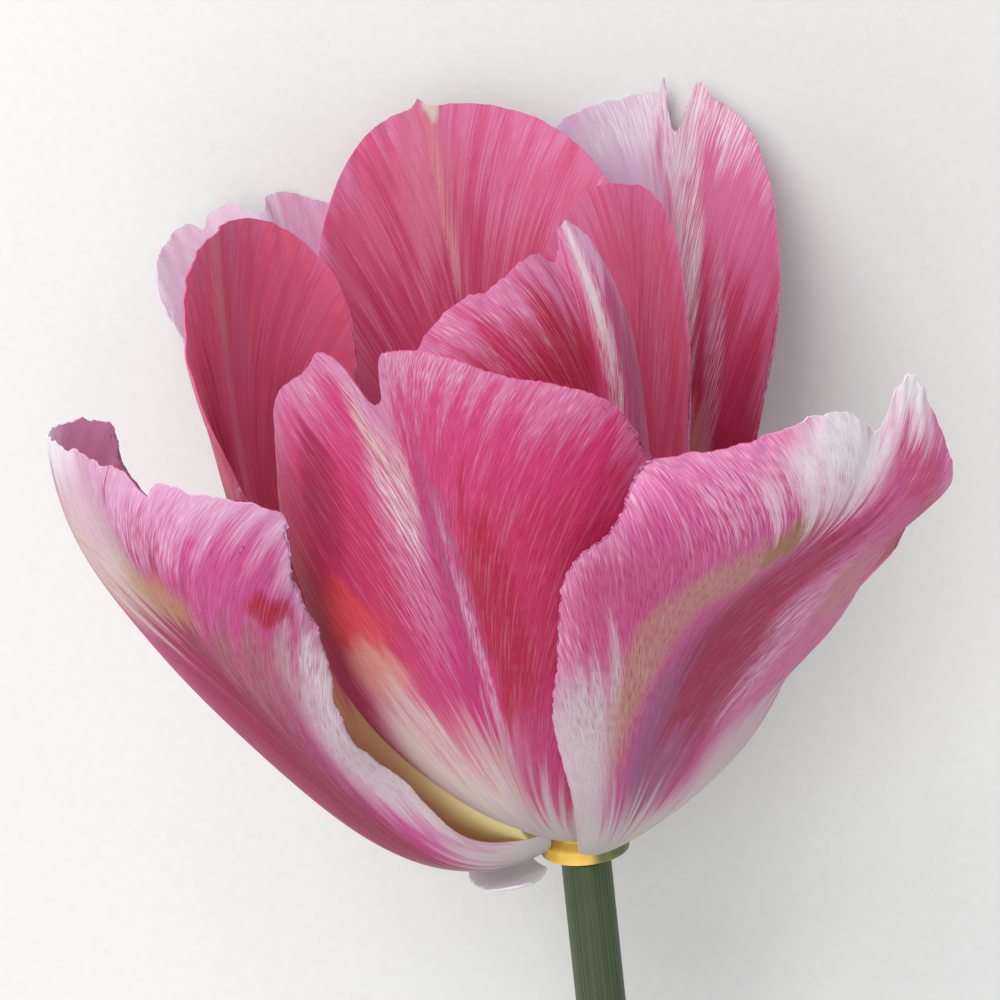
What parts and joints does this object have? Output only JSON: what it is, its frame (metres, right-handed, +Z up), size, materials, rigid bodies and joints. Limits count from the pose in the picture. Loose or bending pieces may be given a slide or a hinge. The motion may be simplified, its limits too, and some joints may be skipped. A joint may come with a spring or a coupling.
{
  "type": "tulip",
  "caption": "Cut tulip lying on its side: flared, creased petals in overlapping rings round stamens and a pistil, on a bare bent stalk.",
  "frame": {"origin": "on the surface, under the middle of the tulip's box", "axes": "+Z up from the surface, +Y towards the open end of the bloom, the side seen in the picture facing up"},
  "size_m": [0.081, 0.2398, 0.0966],
  "materials": {
    "tepal_outer_left": "satin petal, finely striated lengthwise",
    "tepal_outer_right": "satin petal, finely striated lengthwise",
    "tepal_outer_back_right": "satin petal, finely striated lengthwise",
    "tepal_outer_back_left": "satin petal, finely striated lengthwise",
    "tepal_inner_front": "satin petal, finely striated lengthwise",
    "tepal_inner_back": "satin petal, finely striated lengthwise",
    "tepal_inner_left": "satin petal, finely striated lengthwise",
    "tepal_inner_right": "satin petal, finely striated lengthwise",
    "tepal_inner_back_right": "satin petal, finely striated lengthwise",
    "basal_flap": "satin petal",
    "stem": "waxy satin stalk",
    "receptacle": "waxy satin",
    "ovary": "waxy satin",
    "stigma": "matte",
    "filament": "satin",
    "anther": "matte"
  },
  "bodies": {
    "root": {"tepal_outer_left": "tepal_outer_left", "tepal_outer_right": "tepal_outer_right", "tepal_outer_back_right": "tepal_outer_back_right", "tepal_outer_back_left": "tepal_outer_back_left", "tepal_inner_front": "tepal_inner_front", "tepal_inner_back": "tepal_inner_back", "tepal_inner_left": "tepal_inner_left", "tepal_inner_right": "tepal_inner_right", "tepal_inner_back_right": "tepal_inner_back_right", "basal_flap": "basal_flap", "stem": "stem", "receptacle": "receptacle", "ovary": "ovary", "stigma": "stigma", "filament_1": "filament", "anther_1": "anther", "filament_2": "filament", "anther_2": "anther", "filament_3": "filament", "anther_3": "anther", "filament_4": "filament", "anther_4": "anther", "filament_5": "filament", "anther_5": "anther", "filament_6": "filament", "anther_6": "anther"}
  },
  "joints": []
}
